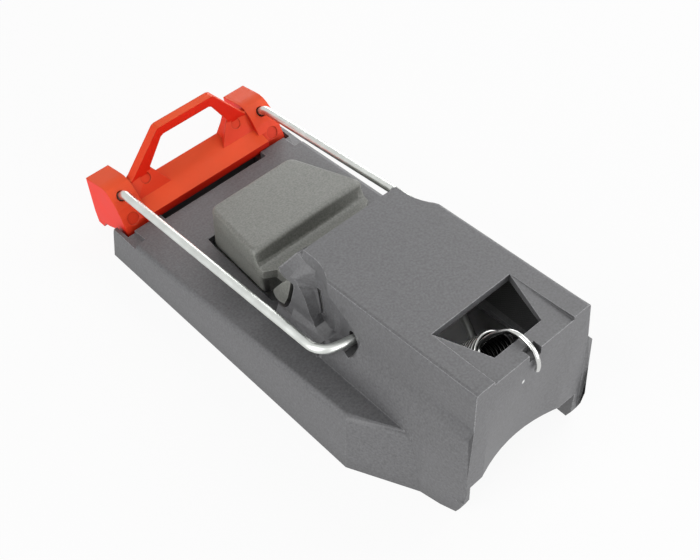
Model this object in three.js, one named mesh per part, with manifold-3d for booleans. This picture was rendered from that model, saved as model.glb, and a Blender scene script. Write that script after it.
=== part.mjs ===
// Snap mouse trap: hollow moulded base with a raised spring housing, a trip pedal,
// a kill bar on a bent wire and one extension spring. Sizes are in millimetres.
// X runs across the trap, +Y from the housing's front face to the kill bar, +Z up.
// The sizes are written from the housing's front face, and the trap is centred at the end.

import * as THREE from 'three';
import Module from 'manifold-3d';

const wasm = await Module();
wasm.setup();

// ---- overall sizes
const BASE_LENGTH = 115;
const BAR_REACH = 13;
const WALL = 2.0;
const GAP = 0.3;

// ---- wedge base
const SKIRT_HALF = 29.4;
const SKIRT_TOP_HALF = 28.2;
const TAPER_START = 11.3;
const TAPER_END = 27.2;
const TAPER_NOSE_HALF = 21.6;
const DECK_AT_FRONT = 18.9;
const DECK_AT_REAR = 9.3;
const RIM_FILLET = 1.5;

// ---- spring housing
const HOUSING_LENGTH = 57;
const HOUSING_TOP = 41.56;
const HOUSING_SLOPE = 0.067;
const HOUSING_HALF = 17.8;
const SHOULDER_HALF = 19.45;
const TOP_HALF = 17.3;
const TOP_WALL = 2.2;
const PANEL_BOTTOM = 9.8;
const PANEL_TOP = 37.07;
const PANEL_TOP_HALF = 14.7;
const PANEL_BOTTOM_HALF = 15.8;
const SCOOP_DEPTH = 3.35;
const WAIST_START = HOUSING_LENGTH - 22.3;
const WAIST_HALF = 14.9;
const WAIST_TOP_HALF = 14.2;
const TOE_HEIGHT = 9.8;
const TOE_WALL = 1.9;
const RIM_STEP = 8.8;

// ---- opening in the cover
const OPENING_REAR = 20;
const OPENING_REAR_HALF = 11.86;
const OPENING_FRONT = 6.9;
const OPENING_FRONT_HALF = 7.1;
const RECESS_HALF = 12.1;
const RECESS_DEPTH = 0.8;
const BRIDGE_NOTCH_HALF = 1.8;
const BRIDGE_NOTCH_FLOOR = 38.7;

// ---- striker: bent wire and kill bar
const PIVOT_Y = WAIST_START + 3.6;
const PIVOT_Z = 25.1;
const WIRE = 2.3;
const ARM_FRONT_HALF = 24.36;
const ARM_REAR_HALF = 23.1;
const ARM_BEND = 5;
const ARM_END_Y = BASE_LENGTH + 0.2;
const ARM_END_Z = 17.78;
const HUB_SLANT = 0.262;
const CRANK_HALF = 11.4;
const CRANK_RADIUS = 21;
const CRANK_ANGLE = 232;
const CRANK_BEND = 2.6;
const BLOCK_INNER = 19.15;
const BLOCK_OUTER = 26.0;
const BLOCK_FLARE = 0.8;
const BLOCK_TOP = 18.0;
const SEAT_LEVEL = 6.2;
const BAR_FRONT = BASE_LENGTH - 4.4;
const TROUGH_FRONT = BASE_LENGTH - 7;
const TROUGH_HALF = 16.85;
const TROUGH_FLOOR = 4.0;
const HANDLE_TOP = 29.2;
const HANDLE_THICK = 2.3;
const HANDLE_REAR = BASE_LENGTH + 5.5;

// ---- trip pedal
const HINGE_Y = HOUSING_LENGTH + 4;
const HINGE_Z = 22.6;
const HUB_RADIUS = 2.0;
const PEDAL_REAR = BASE_LENGTH - 21.8;
const PEDAL_REAR_HALF = 13;
const PEDAL_REAR_TOP = 22.9;
const PEDAL_REAR_FOOT = 9.6;
const PEDAL_FRONT = HOUSING_LENGTH + 13.9;
const PEDAL_FRONT_HALF = 17.5;
const PEDAL_FRONT_TOP = 27.3;
const PEDAL_FRONT_FOOT = 12.8;
const PEDAL_CORNER = 2.0;
const PEDAL_WALL = 1.8;
const WELL_GAP = 1.0;
const NECK_HALF = 14.0;
const CHEEK_GAP = 0.4;

// ---- spring
const SPRING_WIRE = 1.15;
const COIL_RADIUS = 4.5;
const COIL_PITCH = 1.8;
const COIL_Y = 11.5;
const COIL_Z = 32.0;
const FRONT_LOOP_RADIUS = 5.17;
const FRONT_LOOP_Y = 6.15;
const FRONT_LOOP_Z = 36.7;
const REAR_LOOP_RADIUS = 4.2;

const OVERALL_LENGTH = BASE_LENGTH + BAR_REACH;

// ---- materials
const GREY = { color: 0x5c5c5e, roughness: 0.62, metalness: 0.0 };
const PEDAL_GREY = { color: 0x6c6d68, roughness: 0.6, metalness: 0.0 };
const RED = { color: 0xe8381c, roughness: 0.42, metalness: 0.0 };
const BRIGHT = { color: 0xc9ccce, roughness: 0.28, metalness: 1.0 };

// ---- shared tools

function v(x, y, z) {
  return new THREE.Vector3(x, y, z);
}

function radians(degrees) {
  return (degrees * Math.PI) / 180;
}

// Cap triangles for one ring, wound the same way as the ring's own order.
function capFaces(ring) {
  const normal = v(0, 0, 0);
  ring.forEach((point, i) => {
    const next = ring[(i + 1) % ring.length];
    normal.add(point.clone().cross(next));
  });
  const size = [Math.abs(normal.x), Math.abs(normal.y), Math.abs(normal.z)];
  const drop = size.indexOf(Math.max(...size));
  const flat = ring.map((point) => {
    const keep = [point.x, point.y, point.z].filter((_, axis) => axis !== drop);
    return new THREE.Vector2(keep[0], keep[1]);
  });
  const faces = THREE.ShapeUtils.triangulateShape(flat.map((p) => p.clone()), []);
  const ringTurn = THREE.ShapeUtils.area(flat);
  const faceTurn = faces.reduce((sum, f) => sum + THREE.ShapeUtils.area(f.map((i) => flat[i])), 0);
  return faces.map((f) => (ringTurn * faceTurn > 0 ? [f[0], f[1], f[2]] : [f[0], f[2], f[1]]));
}

// Closed solid through rings that have the same number of points.
function loft(rings) {
  const count = rings[0].length;
  const corners = rings.flat();
  const index = [];
  for (let r = 0; r < rings.length - 1; r += 1) {
    for (let i = 0; i < count; i += 1) {
      const a = r * count + i;
      const b = r * count + ((i + 1) % count);
      const c = b + count;
      const d = a + count;
      index.push(a, b, c, a, c, d);
    }
  }
  const last = (rings.length - 1) * count;
  capFaces(rings[0]).forEach((f) => index.push(f[0], f[2], f[1]));
  capFaces(rings[rings.length - 1]).forEach((f) => index.push(last + f[0], last + f[1], last + f[2]));
  return outward(corners, index);
}

// Manifold solid from corners and triangles, turned so that its faces look outward.
function outward(corners, index) {
  let volume = 0;
  for (let i = 0; i < index.length; i += 3) {
    const [a, b, c] = [corners[index[i]], corners[index[i + 1]], corners[index[i + 2]]];
    volume += a.dot(b.clone().cross(c));
  }
  if (volume < 0) {
    for (let i = 0; i < index.length; i += 3) {
      [index[i + 1], index[i + 2]] = [index[i + 2], index[i + 1]];
    }
  }
  const mesh = new wasm.Mesh({
    numProp: 3,
    vertProperties: new Float32Array(corners.flatMap((p) => [p.x, p.y, p.z])),
    triVerts: new Uint32Array(index),
  });
  return new wasm.Manifold(mesh);
}

// Prisms: an outline in one plane, pushed along the third axis.
function prismX(outline, x0, x1) {
  return loft([x0, x1].map((x) => outline.map(([y, z]) => v(x, y, z))));
}

function prismY(outline, y0, y1) {
  return loft([y0, y1].map((y) => outline.map(([x, z]) => v(x, y, z))));
}

function prismZ(outline, z0, z1) {
  return loft([z0, z1].map((z) => outline.map(([x, y]) => v(x, y, z))));
}

function box(x0, x1, y0, y1, z0, z1) {
  return prismZ([[x0, y0], [x1, y0], [x1, y1], [x0, y1]], z0, z1);
}

// The same solid on the other side of the centre plane, joined to it.
function bothSides(solid) {
  return solid.add(solid.mirror([1, 0, 0]));
}

// A half outline on the +X side, closed by its mirror image.
function mirrored(half) {
  const left = half.map((p) => v(-p.x, p.y, p.z)).reverse();
  return [...half, ...left];
}

// Points given from a base point, as points of the outline's own plane.
function from(y, z, points) {
  return points.map(([dy, dz]) => [y + dy, z + dz]);
}

// A closed outline with each corner eased by the same reach.
function softened(outline, reach) {
  return outline.flatMap((corner, i) => {
    const before = outline[(i + outline.length - 1) % outline.length];
    const after = outline[(i + 1) % outline.length];
    const start = corner.clone().add(before.clone().sub(corner).setLength(reach));
    const end = corner.clone().add(after.clone().sub(corner).setLength(reach));
    return [0, 0.25, 0.5, 0.75, 1].map((t) => {
      const first = start.clone().lerp(corner, t);
      return first.lerp(corner.clone().lerp(end, t), t);
    });
  });
}

function circle(cy, cz, radius, steps) {
  const points = [];
  for (let i = 0; i < steps; i += 1) {
    const angle = (i * 2 * Math.PI) / steps;
    points.push([cy + radius * Math.cos(angle), cz + radius * Math.sin(angle)]);
  }
  return points;
}

// A corner polyline with each inner corner rounded by its own radius.
function rounded(corners, radii, stepDegrees) {
  const path = [corners[0]];
  for (let i = 1; i < corners.length - 1; i += 1) {
    const into = corners[i - 1].clone().sub(corners[i]).normalize();
    const out = corners[i + 1].clone().sub(corners[i]).normalize();
    const turn = Math.PI - into.angleTo(out);
    const reach = radii[i - 1] * Math.tan(turn / 2);
    const middle = into.clone().add(out).normalize();
    const centre = corners[i].clone().addScaledVector(middle, radii[i - 1] / Math.cos(turn / 2));
    const start = corners[i].clone().addScaledVector(into, reach).sub(centre);
    const end = corners[i].clone().addScaledVector(out, reach).sub(centre);
    const axis = start.clone().cross(end).normalize();
    const steps = Math.max(2, Math.ceil(turn / radians(stepDegrees)));
    for (let s = 0; s <= steps; s += 1) {
      path.push(start.clone().applyAxisAngle(axis, (turn * s) / steps).add(centre));
    }
  }
  path.push(corners[corners.length - 1]);
  return path;
}

// A curve that stops exactly at the given stations, for an extrusion along it.
class StationPath extends THREE.Curve {
  constructor(stations) {
    super();
    this.stations = stations;
  }

  getPointAt(u) {
    return this.stations[Math.round(u * (this.stations.length - 1))].clone();
  }

  getTangentAt(u) {
    const i = Math.round(u * (this.stations.length - 1));
    const before = this.stations[Math.max(0, i - 1)];
    const after = this.stations[Math.min(this.stations.length - 1, i + 1)];
    const here = this.stations[i];
    const into = here.clone().sub(before).normalize();
    const out = after.clone().sub(here).normalize();
    return into.add(out).normalize();
  }
}

// Welded corners and triangles of a three.js geometry.
function welded(geometry) {
  const position = geometry.getAttribute('position');
  const known = new Map();
  const corners = [];
  const map = [];
  for (let i = 0; i < position.count; i += 1) {
    const p = v(position.getX(i), position.getY(i), position.getZ(i));
    const key = [p.x, p.y, p.z].map((n) => Math.round(n * 1e4)).join();
    if (!known.has(key)) {
      known.set(key, corners.length);
      corners.push(p);
    }
    map.push(known.get(key));
  }
  const source = geometry.index ? Array.from(geometry.index.array) : map.map((_, i) => i);
  const index = [];
  for (let i = 0; i < source.length; i += 3) {
    const [a, b, c] = [map[source[i]], map[source[i + 1]], map[source[i + 2]]];
    if (a !== b && b !== c && c !== a) {
      index.push(a, b, c);
    }
  }
  return outward(corners, index);
}

function geometryOf(solid) {
  const mesh = solid.getMesh();
  const geometry = new THREE.BufferGeometry();
  const points = [];
  for (let i = 0; i < mesh.vertProperties.length; i += mesh.numProp) {
    points.push(...mesh.vertProperties.slice(i, i + 3));
  }
  geometry.setAttribute('position', new THREE.Float32BufferAttribute(points, 3));
  geometry.setIndex(Array.from(mesh.triVerts));
  return geometry;
}

function piece(name, geometry, look) {
  geometry.translate(0, -OVERALL_LENGTH / 2, 0);
  geometry.computeVertexNormals();
  const mesh = new THREE.Mesh(geometry, new THREE.MeshStandardMaterial(look));
  mesh.name = name;
  return mesh;
}

// ---- surfaces that several pieces line up with

function deckAt(y) {
  return THREE.MathUtils.lerp(DECK_AT_FRONT, DECK_AT_REAR, y / BASE_LENGTH);
}

function coverAt(y) {
  return HOUSING_TOP - HOUSING_SLOPE * y;
}

// The front face leans back as it rises, and its foot curls back to the toes.
function frontAt(z) {
  if (z < TOE_HEIGHT) {
    const drop = (TOE_HEIGHT - z) / TOE_HEIGHT;
    return 2.4 * drop ** 2;
  }
  return (1.95 * (z - TOE_HEIGHT)) / (PANEL_TOP - TOE_HEIGHT);
}

// Hollow of the front panel: none along its top edge, deepest at its bottom edge.
function scoopAt(x, z) {
  const drop = (PANEL_TOP - z) / (PANEL_TOP - PANEL_BOTTOM);
  const half = panelHalf(z);
  const share = Math.min(1, Math.abs(x) / half);
  return Math.max(0, SCOOP_DEPTH * drop * (1 - share ** 2));
}

function panelHalf(z) {
  const drop = (PANEL_TOP - z) / (PANEL_TOP - PANEL_BOTTOM);
  return PANEL_TOP_HALF + (PANEL_BOTTOM_HALF - PANEL_TOP_HALF) * drop;
}

// ---- base and housing

// Wedge of the base: drafted sides, tapered nose, sloping deck with a rounded rim.
function skirt() {
  const top = (inset, drop) => mirrored([
    v(TAPER_NOSE_HALF - 0.1 - inset * 0.4, TAPER_START + 3.8 + inset, deckAt(TAPER_START + 3.8 + inset) - drop),
    v(SKIRT_TOP_HALF - 0.2 - inset, TAPER_END + 1.4 + inset * 0.4, deckAt(TAPER_END + 1.4) - drop),
    v(SKIRT_TOP_HALF + 0.2 - inset, BASE_LENGTH, deckAt(BASE_LENGTH) - drop),
  ]);
  const bottom = mirrored([
    v(TAPER_NOSE_HALF, TAPER_START, 0),
    v(SKIRT_HALF, TAPER_END, 0),
    v(SKIRT_HALF, BASE_LENGTH, 0),
  ]);
  const fillet = [0, 0.15, 0.5, 1].map((s) => {
    const inset = RIM_FILLET * s;
    const drop = RIM_FILLET * (1 - Math.sqrt(1 - (1 - s) ** 2));
    return top(inset, drop);
  });
  return loft([bottom, ...fillet]);
}

// Right half of the housing's outline at one distance from the front.
function housingHalf(y, slanted) {
  const flare = Math.min(1, y / TAPER_START);
  const behind = Math.max(0, (y - TAPER_START) / (HOUSING_LENGTH - TAPER_START));
  const foot = SHOULDER_HALF + (TAPER_NOSE_HALF - SHOULDER_HALF) * flare - 1.7 * behind;
  const drop = Math.min(1, Math.max(0, (y - WAIST_START) / 10));
  const low = THREE.MathUtils.lerp(28.57 - 0.109 * y, 19.0, drop);
  const high = THREE.MathUtils.lerp(30.9 - 0.0643 * y, 20.6, drop);
  const shoulder = THREE.MathUtils.lerp(SHOULDER_HALF, HOUSING_HALF + 0.5, drop);
  const top = coverAt(y);
  const deck = deckAt(y);
  const outline = [
    [foot, 0],
    [foot, 2.5],
    [foot, 5.3],
    [foot, TOE_HEIGHT],
    [foot - 0.05, deck],
    [shoulder, low],
    [HOUSING_HALF, high],
    [TOP_HALF, top - 0.7],
    [TOP_HALF - 0.2, top - 0.2],
    [TOP_HALF - 0.8, top],
  ];
  return outline.map(([x, z]) => v(x, slanted ? frontAt(z) : y, z));
}

function housingBody() {
  const stations = [6, TAPER_START, 20, WAIST_START, WAIST_START + 10, HOUSING_LENGTH];
  const front = mirrored(housingHalf(0, true));
  return loft([front, ...stations.map((y) => mirrored(housingHalf(y, false)))]);
}

// Cut that leaves the hollow front panel between its two border strips.
function panelScoop() {
  const rings = [PANEL_TOP, 30, 23, 16, PANEL_BOTTOM].map((z) => scoopRing(z, 0, 1, -5));
  return loft(rings);
}

// One level of the scooped surface, set back by a wall, closed at another depth.
function scoopRing(z, back, spread, close) {
  const half = panelHalf(z) * spread;
  const ring = [];
  for (let i = 0; i <= 12; i += 1) {
    const x = half * (i / 6 - 1);
    const y = frontAt(Math.max(z, TOE_HEIGHT)) + scoopAt(x / spread, Math.max(z, PANEL_BOTTOM)) + back;
    ring.push(v(x, y, z));
  }
  ring.push(v(half, close, z), v(-half, close, z));
  return ring;
}

// Inside of the housing in front of the waist, behind the scooped panel.
function frontChamber() {
  const roof = coverAt(0) - TOP_WALL;
  const rings = [-1, PANEL_BOTTOM, 16, 23, 30, PANEL_TOP].map((z) => scoopRing(z, WALL, 1, WAIST_START));
  const chamber = loft(rings);
  const side = HOUSING_HALF - WALL;
  const upper = prismX(
    [[WALL + 4, 20], [WAIST_START, 20], [WAIST_START, coverAt(WAIST_START) - TOP_WALL], [WALL + 2.2, roof]],
    -PANEL_TOP_HALF + 0.3,
    PANEL_TOP_HALF - 0.3,
  );
  const lower = box(-side - 1.4, side + 1.4, WALL + 6.5, WAIST_START + 20, -1, 19);
  return chamber.add(upper).add(lower);
}

// Inside of the narrower rear part, open to the pedal.
function rearChamber() {
  const half = WAIST_HALF - WALL;
  const outline = [
    [WAIST_START - 2, -1],
    [HOUSING_LENGTH + 12, -1],
    [HOUSING_LENGTH + 12, coverAt(HOUSING_LENGTH) - TOP_WALL],
    [WAIST_START - 2, coverAt(WAIST_START) - TOP_WALL],
  ];
  return prismX(outline, -half, half);
}

// Hollow underside of the wedge.
function skirtChamber() {
  const level = (sink, z) => mirrored([
    v(TAPER_NOSE_HALF - WALL, TAPER_START + 4 + sink, z ?? deckAt(TAPER_START + 4) - WALL),
    v(SKIRT_HALF - WALL - sink * 0.75, TAPER_END + 2, z ?? deckAt(TAPER_END + 2) - WALL),
    v(SKIRT_HALF - WALL - sink * 0.75, BASE_LENGTH - WALL, z ?? deckAt(BASE_LENGTH - WALL) - WALL),
  ]);
  return loft([level(0, -1), level(1.6)]);
}

// Waist on the +X side, where the wall curves in behind the bent wire.
function waistCut() {
  const end = HOUSING_LENGTH + 9;
  const plan = (inner, start, length, z) => {
    const ring = [v(40, start, z), v(HOUSING_HALF + 0.4, start, z)];
    for (let i = 0; i <= 10; i += 1) {
      const s = i / 10;
      const ease = s * (2 - s);
      ring.push(v(HOUSING_HALF + 0.05 + (inner - HOUSING_HALF) * ease, start + length * s, z));
    }
    ring.push(v(inner, end, z), v(40, end, z));
    return ring;
  };
  const high = HOUSING_LENGTH - 12;
  const rings = [
    plan(WAIST_HALF, WAIST_START, 13, 15),
    plan(WAIST_HALF, WAIST_START, 13, 29),
    plan(WAIST_HALF - 0.3, high, 9, 35),
    plan(WAIST_TOP_HALF, high, 9, 38),
    plan(WAIST_TOP_HALF, high, 9, 50),
  ];
  const back = HOUSING_LENGTH;
  const side = [
    [WAIST_START, 46], [WAIST_START, 28.6], [WAIST_START + 0.9, 24.4], [WAIST_START + 1.5, 23.3],
    [WAIST_START + 5.5, 22.2], [back - 11.4, 19.7], [back - 9, 19.3], [back - 7.5, 20.2],
    [back - 5.6, 23.1], [back - 4.1, 27], [back - 1.3, 31.2], [end, 30.9], [end, 46],
  ];
  return loft(rings).intersect(prismX(side, 10, 39));
}

// Cheek behind the waist on the +X side, with its sloping shoulder.
function cheek() {
  const back = HOUSING_LENGTH;
  const crest = [[-4.6, 35.2], [-0.9, 35.6], [0.3, 37.6], [0, 29.4], [-4.6, 29.4]];
  const crown = [[-4.6, 35.0], [-0.8, 34.9], [1.4, 36.3], [0.8, 29.4], [-4.6, 29.4]];
  const brow = [[-1.0, 31.2], [0.6, 31.1], [4.6, 30.9], [4.2, 29.4], [-2.4, 29.4]];
  const shoulder = loft([
    from(back, 0, crest).map(([y, z]) => v(WAIST_HALF - WALL, y, z)),
    from(back, 0, crown).map(([y, z]) => v(WAIST_HALF - 0.05, y, z)),
    from(back, 0, brow).map(([y, z]) => v(HOUSING_HALF, y, z)),
  ]);
  const plate = from(back, 0, [
    [-2.4, 29.8], [4.2, 29.8], [3.2, 29.0], [-0.7, 29.0], [0.2, 25.2], [0.9, 22.2], [1.9, 19.4], [3.4, 17.6],
    [5.6, 17.2], [6.2, deckAt(back + 6.2) - 1], [-7, deckAt(back - 7) - 1], [-7, 21.2], [-5.6, 23.1], [-4.1, 27],
  ]);
  const upright = prismX(plate, NECK_HALF + CHEEK_GAP, HOUSING_HALF);
  const root = NECK_HALF + CHEEK_GAP;
  const footing = loft([
    [v(root, back - 11, 12), v(20.9, back - 11, 12), v(20.2, back - 11, 19.2), v(root, back - 11, 19.2)],
    [v(root, back + 6.2, 11), v(19.6, back + 6.2, 11), v(18.0, back + 5.4, 17.2), v(root, back + 5.4, 17.2)],
  ]);
  return shoulder.add(upright).add(footing);
}

// Trapezoid opening in the cover, the recess round it and the notch for the spring loop.
function coverCuts() {
  const opening = prismZ([
    [-OPENING_FRONT_HALF, OPENING_FRONT], [OPENING_FRONT_HALF, OPENING_FRONT],
    [OPENING_REAR_HALF, OPENING_REAR], [-OPENING_REAR_HALF, OPENING_REAR],
  ], coverAt(OPENING_REAR) - TOP_WALL - 3, HOUSING_TOP + 2);
  const level = (lift) => [
    v(-RECESS_HALF, -1, coverAt(-1) - RECESS_DEPTH + lift),
    v(RECESS_HALF, -1, coverAt(-1) - RECESS_DEPTH + lift),
    v(OPENING_REAR_HALF, OPENING_REAR, coverAt(OPENING_REAR) - 0.05 + lift),
    v(-OPENING_REAR_HALF, OPENING_REAR, coverAt(OPENING_REAR) - 0.05 + lift),
  ];
  const recess = loft([level(0), level(4)]);
  const notch = box(-BRIDGE_NOTCH_HALF, BRIDGE_NOTCH_HALF, -1, 4.4, BRIDGE_NOTCH_FLOOR, HOUSING_TOP + 2);
  return opening.add(recess).add(notch);
}

// Outline of the pedal's well in the deck, a running gap wider than the pedal.
function wellOutline() {
  const half = NECK_HALF + CHEEK_GAP;
  const front = PEDAL_FRONT_HALF - 1.1;
  const rear = PEDAL_REAR_HALF + 1.0;
  const start = HOUSING_LENGTH - 11;
  return [
    [-half, start], [half, start], [half, HINGE_Y + 3.5], [front, HINGE_Y + 5.8], [rear, PEDAL_REAR + WELL_GAP],
    [-rear, PEDAL_REAR + WELL_GAP], [-front, HINGE_Y + 5.8], [-half, HINGE_Y + 3.5],
  ];
}

// Hole for the wire in the waist wall, with the gap below that frees it from the mould.
function wireHole() {
  const radius = WIRE / 2 + 0.95;
  const round = circle(PIVOT_Y, PIVOT_Z, radius, 20);
  const wedge = from(PIVOT_Y, PIVOT_Z, [[-radius, 0], [-1.6, -2.3], [0.3, -2.6], [radius, 0]]);
  return prismX(round, 10, 22).add(prismX(wedge, 10, 22));
}

function baseHousing() {
  const slit = from(HOUSING_LENGTH, PIVOT_Z, [[-7.7, -3.1], [-6.3, -3.1], [-5.0, 4.7], [-6.3, 4.7]]);
  const slot = prismX(slit, WAIST_HALF - WALL - 1, WAIST_HALF + 1);
  const seat = box(-27.1, 27.1, BAR_FRONT - GAP, BASE_LENGTH + 1, SEAT_LEVEL, 30);
  const rimStep = bothSides(box(25, 32, BASE_LENGTH - 9.4, BASE_LENGTH + 1, RIM_STEP, 30));
  const trough = box(-TROUGH_HALF, TROUGH_HALF, TROUGH_FRONT, BASE_LENGTH - WALL, TROUGH_FLOOR, 30);
  const floor = box(-TROUGH_HALF - WALL, TROUGH_HALF + WALL, TROUGH_FRONT - WALL, BASE_LENGTH - 1, 2, 7.5);
  const toeInner = SHOULDER_HALF - TOE_WALL;
  const mouth = box(-toeInner, toeInner, -2, WALL + 8, -1, PANEL_BOTTOM);
  const seatFloor = box(-27.6, 27.6, BAR_FRONT - GAP - WALL, BASE_LENGTH - 1, SEAT_LEVEL - WALL, SEAT_LEVEL + 1.5);
  return skirt()
    .add(housingBody())
    .subtract(bothSides(waistCut()))
    .subtract(panelScoop())
    .subtract(mouth)
    .subtract(frontChamber())
    .subtract(skirtChamber())
    .add(bothSides(cheek()))
    .add(seatFloor)
    .add(floor)
    .subtract(rearChamber())
    .subtract(prismZ(wellOutline(), -1, 28.5))
    .subtract(coverCuts())
    .subtract(bothSides(wireHole()))
    .subtract(bothSides(slot))
    .subtract(seat)
    .subtract(rimStep)
    .subtract(trough);
}

// ---- trip pedal

// Outer form of the pedal's plateau with its steep sides and softened upper edge.
function pedalPlateau() {
  const top = (inset, drop) => softened(mirrored([
    v(PEDAL_FRONT_HALF - inset, PEDAL_FRONT + inset, PEDAL_FRONT_TOP - drop),
    v(PEDAL_REAR_HALF - inset, PEDAL_REAR - inset, PEDAL_REAR_TOP - drop),
  ]), PEDAL_CORNER);
  const bottom = softened(mirrored([
    v(PEDAL_FRONT_HALF - 1.7, PEDAL_FRONT - 1.3, PEDAL_FRONT_FOOT),
    v(PEDAL_REAR_HALF + 0.2, PEDAL_REAR + 0.1, PEDAL_REAR_FOOT),
  ]), PEDAL_CORNER);
  return loft([bottom, top(0, 1.3), top(0.1, 0.75), top(0.4, 0.35), top(0.85, 0.08), top(1.3, 0)]);
}

function pedalHollow() {
  const slope = (PEDAL_FRONT_TOP - PEDAL_REAR_TOP) / (PEDAL_REAR - PEDAL_FRONT);
  const top = mirrored([
    v(PEDAL_FRONT_HALF - PEDAL_WALL - 0.8, PEDAL_FRONT + PEDAL_WALL, PEDAL_FRONT_TOP - PEDAL_WALL - slope),
    v(PEDAL_REAR_HALF - PEDAL_WALL - 0.4, PEDAL_REAR - PEDAL_WALL, PEDAL_REAR_TOP - PEDAL_WALL - slope),
  ]);
  const bottom = mirrored([
    v(PEDAL_FRONT_HALF - 1.9 - PEDAL_WALL, PEDAL_FRONT - 1.1 + PEDAL_WALL, 5),
    v(PEDAL_REAR_HALF + 0.2 - PEDAL_WALL, PEDAL_REAR + 0.1 - PEDAL_WALL, 5),
  ]);
  return loft([bottom, top]);
}

// Neck between the cheeks, which spreads to the plateau's full width through a fillet.
function pedalNeck() {
  const web = from(HINGE_Y, HINGE_Z, [[-3, -3.2], [-3, -0.7], [2, 0], [7, -0.1], [7, -3.2]]);
  const neck = prismX(web, -NECK_HALF, NECK_HALF);
  const spread = prismX(from(PEDAL_FRONT, HINGE_Z, [
    [-4.2, -2.6], [-4.2, -0.05], [-1.6, -0.1], [-0.8, 0.2], [-0.25, 0.8], [0.1, 1.8], [0.9, 1.8], [0.7, -2.6],
  ]), -PEDAL_FRONT_HALF + 0.6, PEDAL_FRONT_HALF - 0.6);
  const wide = PEDAL_FRONT_HALF - 0.6;
  const trim = prismZ([
    [-wide, PEDAL_FRONT + 2], [wide, PEDAL_FRONT + 2], [wide, PEDAL_FRONT - 2.2], [wide - 0.6, PEDAL_FRONT - 2.6],
    [NECK_HALF, PEDAL_FRONT - 4], [-NECK_HALF, PEDAL_FRONT - 4], [-wide + 0.6, PEDAL_FRONT - 2.6],
    [-wide, PEDAL_FRONT - 2.2],
  ], 5, PEDAL_FRONT_TOP);
  return neck.add(spread.intersect(trim)).add(bothSides(trunnion())).add(catchArm());
}

// Ear on the +X side, a rounded triangle that turns in the cheek's notch.
function trunnion() {
  const ear = from(HINGE_Y, HINGE_Z, [
    [-HUB_RADIUS, -0.3], [-3.3, 5.6], [-3.2, 6.1], [-2.9, 6.3], [-2.5, 6.2], [-2.1, 5.8], [0, 3.2], [2.9, -1.4],
    [3.1, -2.3], [2.9, -3.2], [2.3, -3.9], [1.2, -4.2], [-0.6, -3.7],
  ]);
  return prismX(ear, NECK_HALF - 2, HOUSING_HALF);
}

// Catch arm under the cover, which hangs down to hold the crank of the raised striker.
function catchArm() {
  const arm = from(HINGE_Y, HINGE_Z, [
    [-2, -3], [-2, -0.9], [-6.6, -0.9], [-8.4, -2.3], [-8.7, -7.0], [-8.3, -7.8], [-7.6, -7.6], [-7.3, -7.0],
    [-7.1, -4.2], [-6.2, -3],
  ]);
  return prismX(arm, -2, 2);
}

function tripPedal() {
  return pedalPlateau().subtract(pedalHollow()).add(pedalNeck());
}

// ---- kill bar

function killBar() {
  const profile = [
    ...from(BASE_LENGTH, 0, [[-3.8, SEAT_LEVEL + 0.4], [-3.5, 8.2], [-2.8, 9.9], [-1.7, 11.9], [-0.3, 13.9]]),
    ...from(BASE_LENGTH, BLOCK_TOP, [[1.2, -2.4], [2.8, -1.1], [4.3, -0.4], [5.8, -0.2], [7.3, -0.45]]),
    ...from(OVERALL_LENGTH, 0, [[0, 16.3], [-2, 6.2], [-3.2, 3.0], [-5.6, 3.0], [-6.2, 4.6]]),
    ...from(BASE_LENGTH, 0, [[4.6, 5.2], [1.4, SEAT_LEVEL + 0.4]]),
  ];
  const flare = (z) => (BLOCK_FLARE * (BLOCK_TOP - z)) / BLOCK_TOP;
  const block = loft([
    profile.map(([y, z]) => v(BLOCK_INNER, y, z)),
    profile.map(([y, z]) => v(BLOCK_OUTER + flare(z), y, z)),
  ]);
  const bar = prismX([
    ...from(BAR_FRONT, 0, [[0, 8.9], [0, 11.3], [3.6, 12.2], [3.75, 12.38]]),
    ...from(HANDLE_REAR, 0, [[-0.2, 13.9], [1.5, 12.0], [1.5, 8.0]]),
    ...from(BAR_FRONT, 0, [[7.4, 7.4], [1.8, 8.4]]),
  ], -BLOCK_INNER - 1, BLOCK_INNER + 1);
  const marks = ejectorMark(v(23.26, BASE_LENGTH - 2.19, 10.97), v(0, -0.904, 0.427), 1.7);
  return bar
    .add(bothSides(block))
    .add(handle())
    .subtract(bothSides(wireSocket()))
    .subtract(bothSides(marks));
}

// Shallow round mark that an ejector pin leaves in a sloping face.
function ejectorMark(centre, normal, radius) {
  const disc = new THREE.CylinderGeometry(radius, radius, 0.5, 24);
  disc.applyQuaternion(new THREE.Quaternion().setFromUnitVectors(v(0, 1, 0), normal.clone().normalize()));
  disc.translate(centre.x, centre.y, centre.z);
  return welded(disc);
}

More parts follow.
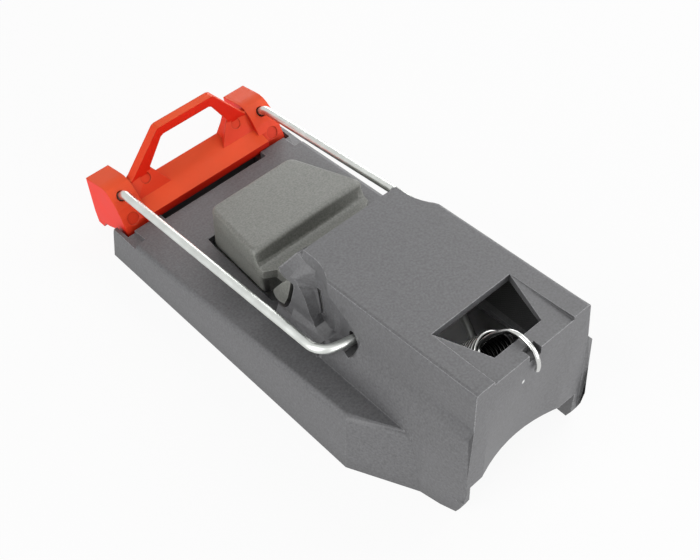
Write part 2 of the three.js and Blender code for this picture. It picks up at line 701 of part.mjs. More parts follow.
// Handle loop: a flat frame that stands on the bar, with sloping gussets at its roots.
function handle() {
  const front = HANDLE_REAR - HANDLE_THICK;
  const outer = [
    [-19.4, 12], [-19.4, 16.6], [-18.2, 17.6], [-9.8, HANDLE_TOP - 1.1], [-9.2, HANDLE_TOP - 0.35],
    [-8.3, HANDLE_TOP], [8.3, HANDLE_TOP], [9.2, HANDLE_TOP - 0.35], [9.8, HANDLE_TOP - 1.1], [18.2, 17.6],
    [19.4, 16.6], [19.4, 12],
  ];
  const top = HANDLE_TOP - 2.8;
  const inner = [
    [-9.9, 11], [-10.3, 13.4], [-12.6, 17.6], [-12.7, 18.5], [-8.2, top - 0.5], [-7.3, top],
    [7.3, top], [8.2, top - 0.5], [12.7, 18.5], [12.6, 17.6], [10.3, 13.4], [9.9, 11],
  ];
  const frame = prismY(outer, front, HANDLE_REAR).subtract(prismY(inner, front - 1, HANDLE_REAR + 1));
  const root = BASE_LENGTH;
  const side = BLOCK_INNER + 0.15;
  const gusset = loft([
    [v(8.6, root + 0.4, 11.6), v(side, root + 0.2, 11.6), v(side, root + 0.5, 12.7), v(8.7, root + 0.6, 12.8)],
    [v(10.2, root + 3.8, 12), v(side, root + 3.7, 12), v(side, root + 3.7, 17.2), v(12.9, root + 3.8, 18.6)],
    [v(10.3, HANDLE_REAR, 12), v(side, HANDLE_REAR, 12), v(side, HANDLE_REAR, 17.0), v(12.6, HANDLE_REAR, 18)],
  ]);
  const mark = ejectorMark(v(14.9, root + 2.64, 16.3), v(0, -0.86, 0.51), 1.5);
  return frame.add(bothSides(gusset.subtract(mark)));
}

// ---- striker wire

function armHeight(y) {
  return THREE.MathUtils.lerp(PIVOT_Z, ARM_END_Z, (y - PIVOT_Y) / (ARM_END_Y - PIVOT_Y));
}

// The hub leans forward as it runs inward, and crosses the hinge's axis inside the wall.
function wireCorners() {
  const pinY = PIVOT_Y + CRANK_RADIUS * Math.cos(radians(CRANK_ANGLE));
  const pinZ = PIVOT_Z + CRANK_RADIUS * Math.sin(radians(CRANK_ANGLE));
  const wallMiddle = HOUSING_HALF - 2.4;
  const bendY = PIVOT_Y + HUB_SLANT * (ARM_FRONT_HALF - wallMiddle);
  return [
    v(0, pinY, pinZ),
    v(CRANK_HALF, pinY, pinZ),
    v(CRANK_HALF, PIVOT_Y - HUB_SLANT * (wallMiddle - CRANK_HALF), PIVOT_Z),
    v(ARM_FRONT_HALF, bendY, armHeight(bendY)),
    v(ARM_REAR_HALF, ARM_END_Y, armHeight(ARM_END_Y)),
    v(ARM_REAR_HALF - 0.1, ARM_END_Y + 3.6, armHeight(ARM_END_Y) - 3.9),
  ];
}

function wireStations() {
  const half = rounded(wireCorners(), [CRANK_BEND, CRANK_BEND, ARM_BEND, 3.0], 15);
  const left = half.slice(1).map((p) => v(-p.x, p.y, p.z)).reverse();
  return [...left, ...half];
}

function strikerWire() {
  const stations = wireStations();
  const section = new THREE.Shape(circle(0, 0, WIRE / 2, 10).map(([a, b]) => new THREE.Vector2(a, b)));
  const tube = new THREE.ExtrudeGeometry(section, {
    steps: stations.length - 1,
    extrudePath: new StationPath(stations),
    bevelEnabled: false,
  });
  return welded(tube);
}

// Socket in the block for the wire's end, a running gap wider than the wire.
function wireSocket() {
  const corners = wireCorners().slice(3);
  const path = rounded(corners, [3.0], 15).slice(1);
  const end = path[path.length - 1];
  const reach = end.clone().sub(path[path.length - 2]).normalize();
  path[path.length - 1] = end.clone().addScaledVector(reach, GAP);
  const radius = WIRE / 2 + GAP;
  const section = new THREE.Shape(circle(0, 0, radius, 10).map(([a, b]) => new THREE.Vector2(a, b)));
  return welded(new THREE.ExtrudeGeometry(section, {
    steps: path.length - 1,
    extrudePath: new StationPath(path),
    bevelEnabled: false,
  }));
}

// ---- extension spring

function springFrame() {
  const pin = wireCorners()[0];
  const start = v(0, COIL_Y, COIL_Z);
  const along = pin.clone().sub(start).normalize();
  const up = v(1, 0, 0).cross(along);
  return { start, along, up };
}

// Length of the coiled body between the front end and the rear loop that holds the crank.
function coilBody() {
  const pin = wireCorners()[0];
  const reach = pin.distanceTo(v(0, COIL_Y, COIL_Z));
  return reach + WIRE / 2 + SPRING_WIRE / 2 + GAP - 2 * REAR_LOOP_RADIUS;
}

// One point of the coils, by its turn round the axis and its way along the body.
function coilPoint(turn, way) {
  const { start, along, up } = springFrame();
  const point = start.clone().addScaledVector(along, way);
  point.addScaledVector(v(1, 0, 0), COIL_RADIUS * Math.cos(turn));
  return point.addScaledVector(up, COIL_RADIUS * Math.sin(turn));
}

// Front loop over the bridge, and the wire's way from there into the first coil.
function frontLoop(first, last, joint) {
  const at = (angle) => v(
    0,
    FRONT_LOOP_Y + FRONT_LOOP_RADIUS * Math.cos(angle),
    FRONT_LOOP_Z + FRONT_LOOP_RADIUS * Math.sin(angle),
  );
  const path = [];
  for (let i = 0; i <= 14; i += 1) {
    path.push(at(last + ((first - last) * i) / 14));
  }
  const top = at(first);
  const coil = coilPoint(joint, 0);
  const leave = top.clone().sub(at(first + 0.01)).setLength(3);
  const arrive = coilPoint(joint + 0.01, 0).sub(coil).setLength(3);
  const bend = new THREE.CubicBezierCurve3(top, top.clone().add(leave), coil.clone().sub(arrive), coil);
  for (let i = 1; i < 8; i += 1) {
    path.push(bend.getPoint(i / 8));
  }
  return path;
}

// Stations from the front loop's free end, through the coils, to the rear loop's end.
function springStations() {
  const { start, along, up } = springFrame();
  const ease = (s) => s * s * (3 - 2 * s);
  const joint = radians(150);
  const path = frontLoop(radians(50), radians(192), joint);
  const body = coilBody();
  const extra = (2 * Math.PI - joint) / (2 * Math.PI);
  const turns = Math.max(3, Math.round(body / COIL_PITCH - extra)) + extra;
  const steps = Math.round(turns * 9);
  for (let i = 0; i <= steps; i += 1) {
    path.push(coilPoint(joint + (turns * 2 * Math.PI * i) / steps, (body * i) / steps));
  }
  const loopSteps = 24;
  const centre = start.clone().addScaledVector(along, body + REAR_LOOP_RADIUS);
  for (let i = 1; i <= loopSteps; i += 1) {
    const angle = (radians(290) * i) / loopSteps;
    const across = COIL_RADIUS * (1 - ease(Math.min(1, angle / radians(90))));
    const point = centre.clone().addScaledVector(along, -REAR_LOOP_RADIUS * Math.cos(angle));
    point.addScaledVector(up, REAR_LOOP_RADIUS * Math.sin(angle));
    point.x = across;
    path.push(point);
  }
  return path;
}

// Tube with a frame carried along the stations without twist.
function tubeAlong(stations, radius, sides) {
  const path = new StationPath(stations);
  const corners = [];
  let side = v(0, 0, 1);
  stations.forEach((centre, i) => {
    const tangent = path.getTangentAt(i / (stations.length - 1));
    side = side.clone().addScaledVector(tangent, -side.dot(tangent)).normalize();
    const other = tangent.clone().cross(side);
    for (let k = 0; k < sides; k += 1) {
      const angle = (k * 2 * Math.PI) / sides;
      const point = centre.clone().addScaledVector(side, radius * Math.cos(angle));
      corners.push(point.addScaledVector(other, radius * Math.sin(angle)));
    }
  });
  const rings = stations.map((_, i) => corners.slice(i * sides, (i + 1) * sides));
  const solid = new THREE.BufferGeometry();
  const index = [];
  for (let r = 0; r < rings.length - 1; r += 1) {
    for (let k = 0; k < sides; k += 1) {
      const a = r * sides + k;
      const b = r * sides + ((k + 1) % sides);
      index.push(a, b, b + sides, a, b + sides, a + sides);
    }
  }
  const end = (rings.length - 1) * sides;
  for (let k = 1; k < sides - 1; k += 1) {
    index.push(0, k + 1, k, end, end + k, end + k + 1);
  }
  solid.setAttribute('position', new THREE.Float32BufferAttribute(corners.flatMap((p) => [p.x, p.y, p.z]), 3));
  solid.setIndex(index);
  return solid;
}

// Least clear distance between parts of the spring that aren't neighbours along its wire.
function leastGap(stations) {
  const fine = [];
  for (let i = 0; i < stations.length - 1; i += 1) {
    for (let s = 0; s < 4; s += 1) {
      fine.push(stations[i].clone().lerp(stations[i + 1], s / 4));
    }
  }
  const along = [0];
  for (let i = 1; i < fine.length; i += 1) {
    along.push(along[i - 1] + fine[i].distanceTo(fine[i - 1]));
  }
  let least = Infinity;
  for (let i = 0; i < fine.length; i += 1) {
    for (let j = i + 1; j < fine.length; j += 1) {
      if (along[j] - along[i] > 4 * SPRING_WIRE) {
        least = Math.min(least, fine[i].distanceTo(fine[j]));
      }
    }
  }
  return least - SPRING_WIRE;
}

function extensionSpring() {
  const stations = springStations();
  console.log(`least gap of the spring to itself: ${leastGap(stations).toFixed(3)} mm`);
  return tubeAlong(stations, SPRING_WIRE / 2, 6);
}

// ---- assembly

const trap = new THREE.Group();
trap.name = 'snap_mouse_trap';
trap.add(piece('base_housing', geometryOf(baseHousing()), GREY));
trap.add(piece('trip_pedal', geometryOf(tripPedal()), PEDAL_GREY));
trap.add(piece('kill_bar', geometryOf(killBar()), RED));
trap.add(piece('striker_wire', geometryOf(strikerWire()), BRIGHT));
trap.add(piece('extension_spring', extensionSpring(), BRIGHT));

export default trap;
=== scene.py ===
import math

import bmesh
import bpy
from mathutils import Matrix, Vector


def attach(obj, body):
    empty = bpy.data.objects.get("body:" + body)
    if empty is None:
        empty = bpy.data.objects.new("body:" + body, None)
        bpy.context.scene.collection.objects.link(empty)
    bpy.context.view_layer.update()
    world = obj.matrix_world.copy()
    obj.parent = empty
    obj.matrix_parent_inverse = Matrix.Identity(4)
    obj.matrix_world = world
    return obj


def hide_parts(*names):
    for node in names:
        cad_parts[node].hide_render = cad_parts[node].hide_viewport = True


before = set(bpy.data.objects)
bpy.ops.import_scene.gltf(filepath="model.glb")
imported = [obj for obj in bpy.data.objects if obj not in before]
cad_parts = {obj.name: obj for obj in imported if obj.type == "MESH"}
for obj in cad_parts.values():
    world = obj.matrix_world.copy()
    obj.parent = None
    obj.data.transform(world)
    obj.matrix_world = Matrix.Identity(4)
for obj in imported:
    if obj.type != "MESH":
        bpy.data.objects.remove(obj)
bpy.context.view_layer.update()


# ---------------------------------------------------------------- base and spring housing
# One injection moulding in dark grey ABS: a hollow wedge that the mouse walks up,
# and the raised housing whose cover keeps fingers off the spring. The tool was
# spark eroded, so the plastic has a fine even grain, and its edges are just broken.

def linear(code):
    """sRGB hex to the linear colour that a shader takes."""
    parts = [int(code[i:i + 2], 16) / 255 for i in (1, 3, 5)]
    return tuple(c / 12.92 if c <= 0.04045 else ((c + 0.055) / 1.055) ** 2.4 for c in parts) + (1.0,)


def node(material, kind, inputs=None, **settings):
    """Adds a shader node. An input given as a socket is linked, any other is set."""
    tree = material.node_tree
    made = tree.nodes.new(kind)
    for name, value in settings.items():
        setattr(made, name, value)
    for key, value in (inputs or {}).items():
        if isinstance(value, bpy.types.NodeSocket):
            tree.links.new(value, made.inputs[key])
        else:
            made.inputs[key].default_value = value
    return made


def blank(name):
    made = bpy.data.materials.new(name)
    made.use_nodes = True
    made.node_tree.nodes.clear()
    return made


def blend(made, share, first, second):
    """The first colour, with the second in its place by the given share."""
    return node(made, "ShaderNodeMix", {0: share, 6: first, 7: second}, data_type="RGBA").outputs[2]


def darkened(made, colour, factor):
    return node(made, "ShaderNodeVectorMath", {0: colour, 1: factor}, operation="MULTIPLY").outputs[0]


def edges_and_recesses(made, radius_mm):
    """The normal with the tool's edge radius, how far a point is on an exposed edge, and how open its place is.
    The edges are broken in the shading, so the mesh keeps its corners."""
    rounded = node(made, "ShaderNodeBevel", {"Radius": radius_mm / 1000}, samples=6).outputs[0]
    smooth = node(made, "ShaderNodeNewGeometry").outputs["Normal"]
    bend = node(made, "ShaderNodeVectorMath", {0: rounded, 1: smooth}, operation="DOT_PRODUCT")
    bend = bend.outputs["Value"]
    on_edge = node(made, "ShaderNodeMapRange", {0: bend, 1: 0.985, 2: 0.95}).outputs[0]
    normal = node(made, "ShaderNodeMix", {0: on_edge, 4: smooth, 5: rounded}, data_type="VECTOR").outputs[1]
    normal = node(made, "ShaderNodeVectorMath", {0: normal}, operation="NORMALIZE").outputs[0]
    recess_reach = 0.009
    openness = node(made, "ShaderNodeAmbientOcclusion", {"Distance": recess_reach}, samples=8).outputs["AO"]
    exposed = node(made, "ShaderNodeMapRange", {0: openness, 1: 0.6, 2: 0.95}).outputs[0]
    # painted highlight: the share of pale colour painted on exposed convex edges
    edge_highlight = node(made, "ShaderNodeMapRange", {0: bend, 1: 0.98, 2: 0.85}).outputs[0]
    edge_highlight = node(made, "ShaderNodeMath", {0: edge_highlight, 1: exposed}, operation="MULTIPLY").outputs[0]
    return normal, edge_highlight, openness


def moulded_plastic(name, tone, shade, highlight_tone, roughness, grain_mm, grain_depth_mm, edge_mm, hollow=False):
    """ABS from a spark-eroded tool: a fine grain, a slow drift of tone, a painted highlight along
    exposed edges and painted shade in the recesses."""
    made = blank(name)
    place = node(made, "ShaderNodeTexCoord").outputs["Object"]
    millimetres = node(made, "ShaderNodeMapping", {"Vector": place, "Scale": (1000, 1000, 1000)}).outputs[0]
    drifts_per_mm, grains_per_mm = 0.045, 1 / grain_mm
    drift = node(made, "ShaderNodeTexNoise", {
        "Vector": millimetres, "Scale": drifts_per_mm, "Detail": 3.0}).outputs[0]
    flecks = node(made, "ShaderNodeTexNoise", {
        "Vector": millimetres, "Scale": grains_per_mm, "Detail": 1.0}).outputs[0]
    colour = blend(made, drift, linear(shade), linear(tone))
    normal, edge, openness = edges_and_recesses(made, edge_mm)
    # painted highlight: exposed edges blended to a pale grey
    colour = blend(made, edge, colour, linear(highlight_tone))
    fleck_map = node(made, "ShaderNodeMapRange", {0: flecks, 1: 0.25, 2: 0.75, 3: 0.62, 4: 1.38}).outputs[0]
    colour = darkened(made, colour, fleck_map)
    # painted shade: darker where nearby surfaces close in, within 9 mm
    recess_shade = node(made, "ShaderNodeMapRange", {0: openness, 1: 0.3, 2: 0.85, 3: 0.5, 4: 1.0}).outputs[0]
    colour = darkened(made, colour, recess_shade)
    height = flecks
    if hollow:
        colour = painted_glint(made, place, colour)
        colour, height = shaded_hatched_inside(made, place, millimetres, colour, flecks)
    rough = node(made, "ShaderNodeMapRange", {
        0: flecks, 1: 0.3, 2: 0.7, 3: roughness - 0.05, 4: roughness + 0.06})
    bump = node(made, "ShaderNodeBump", {
        "Height": height, "Normal": normal, "Strength": 0.6, "Distance": grain_depth_mm / 1000})
    shader = node(made, "ShaderNodeBsdfPrincipled", {
        "Base Color": colour,
        "Roughness": rough.outputs[0],
        "Normal": bump.outputs[0],
        "IOR": 1.53,
        "Specular IOR Level": 1.0,
    })
    node(made, "ShaderNodeOutputMaterial", {"Surface": shader.outputs[0]})
    return made


def painted_glint(made, place, colour):
    """A painted highlight: a small near-white glint on the front panel."""
    glint_centre = (-0.0026, -0.0640, 0.0329)
    glint_stretch = (1.1, 0.2, 0.7)
    away = node(made, "ShaderNodeVectorMath", {0: place, 1: glint_centre}, operation="SUBTRACT").outputs[0]
    away = node(made, "ShaderNodeVectorMath", {0: away, 1: glint_stretch}, operation="MULTIPLY").outputs[0]
    distance = node(made, "ShaderNodeVectorMath", {0: away}, operation="LENGTH").outputs["Value"]
    glint = node(made, "ShaderNodeMapRange", {0: distance, 1: 0.0007, 2: 0.0004}).outputs[0]
    # painted highlight: near white inside the small stretched spot
    return blend(made, glint, colour, linear("#F2F2F2"))


def shaded_hatched_inside(made, place, millimetres, colour, height):
    """The walls of the spring's room, painted dark as painted shade over crossed cutter marks that nobody sees
    in use.
    """
    split = node(made, "ShaderNodeSeparateXYZ", {0: place})
    across = node(made, "ShaderNodeMath", {0: split.outputs[0]}, operation="ABSOLUTE").outputs[0]
    room_half, room_floor, room_ceiling = 0.01615, 0.0215, 0.0382
    room_front, room_rear = -0.0612, -0.0305
    inside = node(made, "ShaderNodeMath", {0: across, 1: room_half}, operation="LESS_THAN").outputs[0]
    for axis, limit, side in (
        (2, room_ceiling, "LESS_THAN"),
        (2, room_floor, "GREATER_THAN"),
        (1, room_front, "GREATER_THAN"),
        (1, room_rear, "LESS_THAN"),
    ):
        within = node(made, "ShaderNodeMath", {0: split.outputs[axis], 1: limit}, operation=side).outputs[0]
        inside = node(made, "ShaderNodeMath", {0: inside, 1: within}, operation="MULTIPLY").outputs[0]
    waves = []
    tilt = 0.9
    marks_per_mm = 0.55
    for turn in (tilt, -tilt):
        turned = node(made, "ShaderNodeMapping", {"Vector": millimetres, "Rotation": (turn, 0, 0)}).outputs[0]
        bands = node(made, "ShaderNodeTexWave", {
            "Vector": turned, "Scale": marks_per_mm, "Distortion": 0.6}, bands_direction="Y")
        waves.append(bands.outputs["Fac"])
    crossed = node(made, "ShaderNodeMath", {0: waves[0], 1: waves[1]}, operation="MULTIPLY").outputs[0]
    marks = node(made, "ShaderNodeMapRange", {0: crossed, 1: 0.0, 2: 0.8, 3: 0.02, 4: 0.5}).outputs[0]
    # painted shade: inside the room the colour drops to between 2 and 50 percent, in crossed bands
    colour = blend(made, inside, colour, darkened(made, colour, marks))
    height = node(made, "ShaderNodeMix", {0: inside, 2: height, 3: crossed}, data_type="FLOAT").outputs[0]
    return colour, height


def finished_copy(node_name, name, angle_degrees, plastic):
    """The solid's own shape with its flat faces whole again, and its curved faces smooth."""
    piece = bpy.data.objects.new(name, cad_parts[node_name].data.copy())
    bpy.context.collection.objects.link(piece)
    piece.data.materials.clear()
    piece.data.materials.append(plastic)
    same_point, same_plane = 2e-6, math.radians(0.6)
    shape = bmesh.new()
    shape.from_mesh(piece.data)
    bmesh.ops.remove_doubles(shape, verts=shape.verts, dist=same_point)
    bmesh.ops.dissolve_limit(shape, angle_limit=same_plane, verts=shape.verts, edges=shape.edges)
    for face in shape.faces:
        face.material_index = 0
    shape.to_mesh(piece.data)
    shape.free()
    bpy.context.view_layer.objects.active = piece
    for other in bpy.context.selected_objects:
        other.select_set(False)
    piece.select_set(True)
    bpy.ops.object.shade_smooth_by_angle(angle=math.radians(angle_degrees))
    flatten = piece.modifiers.new("large faces stay flat", "WEIGHTED_NORMAL")
    flatten.keep_sharp = True
    flatten.weight = 80
    bpy.ops.object.modifier_apply(modifier=flatten.name)
    return piece


base = finished_copy("base_housing", "base_moulding", 24, moulded_plastic(
    "ABS dark grey spark grain", "#58585A", "#535355", "#A2A2A4", 0.56, 0.52, 0.04, 0.4, hollow=True))
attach(base, "base")
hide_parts("base_housing")


# ---------------------------------------------------------------- trip pedal
# A second ABS moulding in a warmer grey: the plate that the mouse treads on, its two
# rounded trunnions between the cheeks, and the catch arm that holds the crank.

pedal = finished_copy("trip_pedal", "pedal_moulding", 24, moulded_plastic(
    "ABS warm grey spark grain", "#767771", "#6F706A", "#9D9E97", 0.55, 0.46, 0.035, 0.4))
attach(pedal, "pedal")
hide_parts("trip_pedal")


# ---------------------------------------------------------------- kill bar
# The red moulding that falls on the mouse: two end blocks on the wire's ends, the
# slanted bar and the handle loop. It left a polished tool, so it has a satin gloss.

def glossy_moulding(name, own_red, highlight_red, roughness, edge_mm):
    """Polypropylene from a polished tool: flow marks dull it in places. Faces that look up carry a
    painted sheen, exposed edges a painted highlight and recesses a painted shade."""
    made = blank(name)
    where = node(made, "ShaderNodeTexCoord").outputs
    millimetres = node(made, "ShaderNodeMapping", {
        "Vector": where["Object"], "Scale": (1000, 1000, 1000)}).outputs[0]
    flow = node(made, "ShaderNodeTexNoise", {"Vector": millimetres, "Scale": 0.12, "Detail": 4.0}).outputs[0]
    skin = node(made, "ShaderNodeTexNoise", {"Vector": millimetres, "Scale": 1.6, "Detail": 2.0}).outputs[0]
    # painted sheen: the more a face looks up, the paler and more orange it is painted
    upward = node(made, "ShaderNodeSeparateXYZ", {0: where["Normal"]}).outputs[2]
    top_sheen = node(made, "ShaderNodeMapRange", {0: upward, 1: 0.1, 2: 0.95}).outputs[0]
    colour = blend(made, top_sheen, linear(own_red), linear(highlight_red))
    normal, edge, openness = edges_and_recesses(made, edge_mm)
    # painted highlight: exposed edges take the paler red
    colour = blend(made, edge, colour, linear(highlight_red))
    # painted shade: darker where nearby surfaces close in
    recess_shade = node(made, "ShaderNodeMapRange", {0: openness, 1: 0.3, 2: 0.8, 3: 0.55, 4: 1.0}).outputs[0]
    darkening = node(made, "ShaderNodeMapRange", {0: flow, 1: 0.3, 2: 0.7, 3: 0.94, 4: 1.0}).outputs[0]
    darkening = node(made, "ShaderNodeMath", {0: recess_shade, 1: darkening}, operation="MULTIPLY").outputs[0]
    colour = darkened(made, colour, darkening)
    rough = node(made, "ShaderNodeMapRange", {
        0: flow, 1: 0.3, 2: 0.7, 3: roughness - 0.04, 4: roughness + 0.06})
    skin_depth = 0.00003
    bump = node(made, "ShaderNodeBump", {
        "Height": skin, "Normal": normal, "Strength": 0.25, "Distance": skin_depth})
    shader = node(made, "ShaderNodeBsdfPrincipled", {
        "Base Color": colour,
        "Roughness": rough.outputs[0],
        "Normal": bump.outputs[0],
        "IOR": 1.49,
        "Specular IOR Level": 0.25,
        "Subsurface Weight": 0.1,
        "Subsurface Radius": (0.0012, 0.0002, 0.0001),
        "Subsurface Scale": 1.0,
    })
    node(made, "ShaderNodeOutputMaterial", {"Surface": shader.outputs[0]})
    return made


bar = finished_copy("kill_bar", "bar_moulding", 24, glossy_moulding(
    "polypropylene red satin", "#F82A12", "#FC5C30", 0.42, 0.45))
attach(bar, "striker")
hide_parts("kill_bar")


# ---------------------------------------------------------------- striker wire
# Hard drawn steel wire, 2.3 mm, zinc plated before it was bent: both arms, the wide
# bends into the housing and the crank that the spring pulls on.

def plated_wire(name, tone, shade, roughness, shaded_coil=None):
    """Bright zinc on drawn wire: a blurred mirror with small dull spots. With a coil's start,
    direction and radius given, the inside of that coil is painted dark as painted shade."""
    made = blank(name)
    place = node(made, "ShaderNodeTexCoord").outputs["Object"]
    millimetres = node(made, "ShaderNodeMapping", {"Vector": place, "Scale": (1000, 1000, 1000)}).outputs[0]
    spots = node(made, "ShaderNodeTexNoise", {"Vector": millimetres, "Scale": 0.35, "Detail": 3.0}).outputs[0]
    colour = blend(made, spots, linear(shade), linear(tone))
    if shaded_coil:
        start, along, radius = shaded_coil
        start, along = tuple(start), tuple(along)
        offset = node(made, "ShaderNodeVectorMath", {0: place, 1: start}, operation="SUBTRACT").outputs[0]
        across = node(made, "ShaderNodeVectorMath", {0: offset, 1: along}, operation="CROSS_PRODUCT").outputs[0]
        away = node(made, "ShaderNodeVectorMath", {0: across}, operation="LENGTH").outputs["Value"]
        reach = node(made, "ShaderNodeVectorMath", {0: offset, 1: along}, operation="DOT_PRODUCT")
        reach = reach.outputs["Value"]
        inner_shade = node(made, "ShaderNodeMapRange", {0: away, 1: radius + 0.0003, 2: radius - 0.0001}).outputs[0]
        behind = node(made, "ShaderNodeMapRange", {0: reach, 1: -0.0015, 2: -0.0005}).outputs[0]
        inner_shade = node(made, "ShaderNodeMath", {0: inner_shade, 1: behind}, operation="MULTIPLY").outputs[0]
        # painted shade: the coil's inner side, from just behind its start, is painted near black
        colour = blend(made, inner_shade, colour, linear("#2E2E2D"))
    rough = node(made, "ShaderNodeMapRange", {
        0: spots, 1: 0.35, 2: 0.7, 3: roughness - 0.06, 4: roughness + 0.1})
    spot_depth = 0.00002
    bump = node(made, "ShaderNodeBump", {"Height": spots, "Strength": 0.15, "Distance": spot_depth})
    shader = node(made, "ShaderNodeBsdfPrincipled", {
        "Base Color": colour,
        "Roughness": rough.outputs[0],
        "Normal": bump.outputs[0],
        "Metallic": 1.0,
    })
    node(made, "ShaderNodeOutputMaterial", {"Surface": shader.outputs[0]})
    return made


def tube(name, stations, radius, sides):
    """A round wire swept through stations, with flat ends and a frame that doesn't twist."""
    shape = bmesh.new()
    side = Vector((0, 0, 1))
    rings = []
    for i, centre in enumerate(stations):
        before = stations[max(0, i - 1)]
        after = stations[min(len(stations) - 1, i + 1)]
        along = (after - before).normalized()
        side = (side - along * side.dot(along)).normalized()
        other = along.cross(side)
        ring = []
        for k in range(sides):
            turn = 2 * math.pi * k / sides
            offset = side * (radius * math.cos(turn)) + other * (radius * math.sin(turn))
            ring.append(shape.verts.new(centre + offset))
        rings.append(ring)
    for ring, following in zip(rings, rings[1:]):
        for k in range(sides):
            after = (k + 1) % sides
            shape.faces.new((ring[k], ring[after], following[after], following[k]))
    shape.faces.new(list(reversed(rings[0])))
    shape.faces.new(rings[-1])
    bmesh.ops.recalc_face_normals(shape, faces=shape.faces)
    mesh = bpy.data.meshes.new(name)
    shape.to_mesh(mesh)
    shape.free()
    made = bpy.data.objects.new(name, mesh)
    bpy.context.collection.objects.link(made)
    for face in mesh.polygons:
        face.use_smooth = True
    return made


def bent(corners, radii, step_degrees):
    """A polyline with each inner corner rounded, as a wire bender leaves it."""
    path = [corners[0]]
    for i in range(1, len(corners) - 1):
        into = (corners[i - 1] - corners[i]).normalized()
        out = (corners[i + 1] - corners[i]).normalized()
        turn = math.pi - into.angle(out)
        reach = radii[i - 1] * math.tan(turn / 2)
        middle = (into + out).normalized()
        centre = corners[i] + middle * (radii[i - 1] / math.cos(turn / 2))
        start = corners[i] + into * reach - centre
        end = corners[i] + out * reach - centre
        axis = start.cross(end).normalized()
        steps = max(2, math.ceil(turn / math.radians(step_degrees)))
        for s in range(steps + 1):
            path.append(Matrix.Rotation(turn * s / steps, 3, axis) @ start + centre)
    path.append(corners[-1])
    return path


def millimetre_point(x, y, z):
    """A point given from the housing's front face, in the frame's metres."""
    return Vector((x, y - 64, z)) / 1000


pivot_y, pivot_z = 38.3, 25.1
crank_radius, crank_angle = 21, math.radians(232)
pin_y = pivot_y + crank_radius * math.cos(crank_angle)
pin_z = pivot_z + crank_radius * math.sin(crank_angle)
crank_half = 11.4
wire_radius = 0.00114
bend_radii = [0.0026, 0.0026, 0.005, 0.003]
wire_corners = [
    millimetre_point(0, pin_y, pin_z),
    millimetre_point(crank_half, pin_y, pin_z),
    millimetre_point(crank_half, 37.25, pivot_z),
    millimetre_point(24.36, 40.65, 24.88),
    millimetre_point(23.1, 115.2, 17.78),
    millimetre_point(23.0, 118.8, 13.88),
]
half_wire = bent(wire_corners, bend_radii, step_degrees=6)
other_half = [Vector((-p.x, p.y, p.z)) for p in reversed(half_wire[1:])]
wire = tube("bow_wire", other_half + half_wire, wire_radius, sides=28)
wire.data.materials.append(plated_wire("steel wire bright zinc", "#DCDFDB", "#CBCECA", 0.34))
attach(wire, "striker")
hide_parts("striker_wire")


# ---------------------------------------------------------------- extension spring
# Close wound music wire with a machine loop at each end: one hangs over the bridge
# in front of the cover's opening, and the other holds the crank.

def spring_stations(start, pin, coil, gauge):
    """The wire's centre line in millimetres: the front loop, the bend into the coil, the coil
    and the rear loop round the crank's pin."""
    rear_loop = 4.2
    loop_radius, loop_y, loop_z = 5.17, 6.15, 36.7
    along = (pin - start).normalized()
    across = Vector((1, 0, 0))
    up = across.cross(along)
    slack = 0.3
    body = (pin - start).length - 2 * rear_loop + gauge + gauge / 2 + slack
    joint = math.radians(150)
    turns = 11 + 210 / 360

    def on_coil(turn, way):
        return start + along * way + across * (coil * math.cos(turn)) + up * (coil * math.sin(turn))

    def on_loop(angle):
        return Vector((0, loop_y + loop_radius * math.cos(angle), loop_z + loop_radius * math.sin(angle)))

    first, last = math.radians(50), math.radians(192)
    path = [on_loop(last + (first - last) * i / 56) for i in range(57)]
    nudge, pull = 0.01, 3
    leave = (on_loop(first) - on_loop(first + nudge)).normalized() * pull
    arrive = (on_coil(joint + nudge, 0) - on_coil(joint, 0)).normalized() * pull
    bend = [on_loop(first), on_loop(first) + leave, on_coil(joint, 0) - arrive, on_coil(joint, 0)]
    for i in range(1, 24):
        t = i / 24
        weights = ((1 - t) ** 3, 3 * t * (1 - t) ** 2, 3 * t * t * (1 - t), t ** 3)
        path.append(sum((point * weight for point, weight in zip(bend, weights)), Vector()))
    steps = 380
    for i in range(steps + 1):
        path.append(on_coil(joint + turns * 2 * math.pi * i / steps, body * i / steps))
    centre = start + along * (body + rear_loop)
    for i in range(1, 65):
        angle = math.radians(290) * i / 64
        s = min(1, angle / math.radians(90))
        point = centre - along * (rear_loop * math.cos(angle)) + up * (rear_loop * math.sin(angle))
        point.x = coil * (1 - s * s * (3 - 2 * s))
        path.append(point)
    return [millimetre_point(*p) for p in path]


spring_start, crank_pin = Vector((0, 11.5, 32.0)), Vector((0, pin_y, pin_z))
coil_radius, spring_gauge = 4.5, 1.15
spring = tube(
    "pull_spring",
    spring_stations(spring_start, crank_pin, coil_radius, spring_gauge),
    spring_gauge / 2000,
    sides=16,
)
coil_start = millimetre_point(*spring_start)
coil_along = (millimetre_point(*crank_pin) - coil_start).normalized()
spring.data.materials.append(plated_wire(
    "music wire bright", "#DADBD8", "#BFC0BE", 0.2, shaded_coil=(coil_start, coil_along, coil_radius / 1000)))
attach(spring, "base")
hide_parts("extension_spring")


# ---------------------------------------------------------------- floor, light and camera
# A white sweep under soft boxes. The floor keeps a faint shadow under the trap.

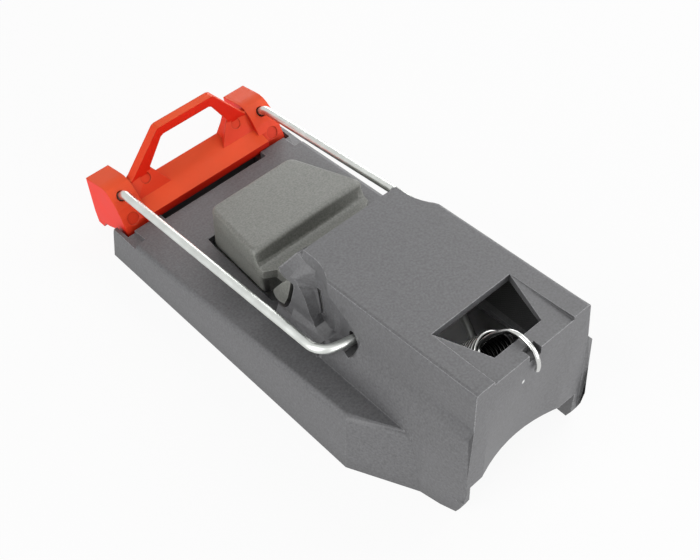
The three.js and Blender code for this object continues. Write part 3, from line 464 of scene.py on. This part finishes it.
def paper_floor():
    """Paper that glows nearly white where it lies open. The glow reaches every ray, so it also
    lights the trap from below. Under the trap's hollow it is plain paper that doesn't glow."""
    made = blank("white paper sweep")
    nose_taper, straight_start, skirt_reach = -0.49, 0.01803, 0.04643
    centre_shift, half_length = 0.00275, 0.05325
    edge_fade, glowing_share = -0.0012, 0.92

    def sum_up(operation, first, second):
        return node(made, "ShaderNodeMath", {0: first, 1: second}, operation=operation).outputs[0]

    place = node(made, "ShaderNodeTexCoord").outputs["Object"]
    split = node(made, "ShaderNodeSeparateXYZ", {0: place})
    across = node(made, "ShaderNodeMath", {0: split.outputs[0]}, operation="ABSOLUTE").outputs[0]
    nose = sum_up("MAXIMUM", sum_up("MULTIPLY", split.outputs[1], nose_taper), straight_start)
    beside = sum_up("SUBTRACT", sum_up("ADD", across, nose), skirt_reach)
    shifted = sum_up("ADD", split.outputs[1], centre_shift)
    middle = node(made, "ShaderNodeMath", {0: shifted}, operation="ABSOLUTE").outputs[0]
    outside = sum_up("MAXIMUM", beside, sum_up("SUBTRACT", middle, half_length))
    open_paper = node(made, "ShaderNodeMapRange", {0: outside, 1: edge_fade, 2: 0.0})
    paper = node(made, "ShaderNodeBsdfDiffuse", {"Color": linear("#F4F4F4")})
    glow = node(made, "ShaderNodeEmission", {"Color": (1, 1, 1, 1), "Strength": 1.0})
    white = sum_up("MULTIPLY", open_paper.outputs[0], glowing_share)
    mix = node(made, "ShaderNodeMixShader", {0: white, 1: paper.outputs[0], 2: glow.outputs[0]})
    node(made, "ShaderNodeOutputMaterial", {"Surface": mix.outputs[0]})
    return made


floor_mesh = bpy.data.meshes.new("sweep")
reach = 3
floor_mesh.from_pydata(
    [(-reach, -reach, 0), (reach, -reach, 0), (reach, reach, 0), (-reach, reach, 0)], [], [(0, 1, 2, 3)])
floor = bpy.data.objects.new("sweep", floor_mesh)
bpy.context.collection.objects.link(floor)
floor.data.materials.append(paper_floor())

world = bpy.data.worlds.new("white studio")
bpy.context.scene.world = world
world.use_nodes = True
world.node_tree.nodes.clear()
rays = node(world, "ShaderNodeLightPath")
camera_ray, glossy_ray, through_ray = (
    rays.outputs[kind] for kind in ("Is Camera Ray", "Is Glossy Ray", "Is Transmission Ray"))
mirrored_strength, room_strength = 0.9, 0.03
seen = node(world, "ShaderNodeMath", {0: camera_ray, 1: through_ray}, operation="MAXIMUM").outputs[0]
mirrored = node(world, "ShaderNodeMath", {0: glossy_ray, 1: mirrored_strength}, operation="MULTIPLY").outputs[0]
seen = node(world, "ShaderNodeMath", {0: seen, 1: mirrored}, operation="MAXIMUM").outputs[0]
strength = node(world, "ShaderNodeMath", {0: seen, 1: room_strength}, operation="MAXIMUM").outputs[0]
sky = node(world, "ShaderNodeBackground", {"Color": (1, 1, 1, 1), "Strength": strength})
node(world, "ShaderNodeOutputWorld", {"Surface": sky.outputs[0]})


def soft_box(name, place, size, power):
    """A rectangular lamp that faces the middle of the trap."""
    middle = Vector((0, 0, 0.02))
    lamp = bpy.data.lights.new(name, "AREA")
    lamp.shape = "RECTANGLE"
    lamp.size, lamp.size_y = size
    lamp.energy = power
    made = bpy.data.objects.new(name, lamp)
    bpy.context.collection.objects.link(made)
    made.location = place
    made.rotation_euler = (middle - Vector(place)).to_track_quat("-Z", "Y").to_euler()


square_box, low_box = (0.5, 0.5), (0.5, 0.22)
soft_box("high box at the left", (-0.566, 0, 0.586), square_box, 2.2)
soft_box("high box at the right", (0.566, 0, 0.586), square_box, 2.5)
soft_box("high box in front", (0, -0.566, 0.586), square_box, 1.0)
soft_box("low box in front", (0, -0.782, 0.186), low_box, 2.0)
soft_box("low box at the left", (-0.782, 0, 0.186), low_box, 1.6)
soft_box("low box behind at the right", (0.553, 0.553, 0.186), low_box, 1.7)
soft_box("low box in front at the right", (0.553, -0.553, 0.186), low_box, 1.5)

lens = bpy.data.cameras.new("view")
frame_width, focal_pixels = 700, 1251.098
lens.sensor_width = 36
lens.lens = focal_pixels * lens.sensor_width / frame_width
lens.clip_start = 0.01
view = bpy.data.objects.new("view", lens)
bpy.context.collection.objects.link(view)
azimuth, elevation, roll = (math.radians(angle) for angle in (-43.0206, 49.6325, -0.094))
distance = 0.5204903
back = Vector((
    math.sin(azimuth) * math.cos(elevation),
    -math.cos(azimuth) * math.cos(elevation),
    math.sin(elevation),
))
target = Vector((0.09847462, 0.16270315 - 0.064, -0.15388632))
turn = Matrix.Rotation(azimuth, 4, "Z") @ Matrix.Rotation(math.pi / 2 - elevation, 4, "X")
view.matrix_world = Matrix.Translation(target + back * distance) @ turn @ Matrix.Rotation(roll, 4, "Z")
bpy.context.scene.camera = view
bpy.context.scene.view_settings.view_transform = "Standard"
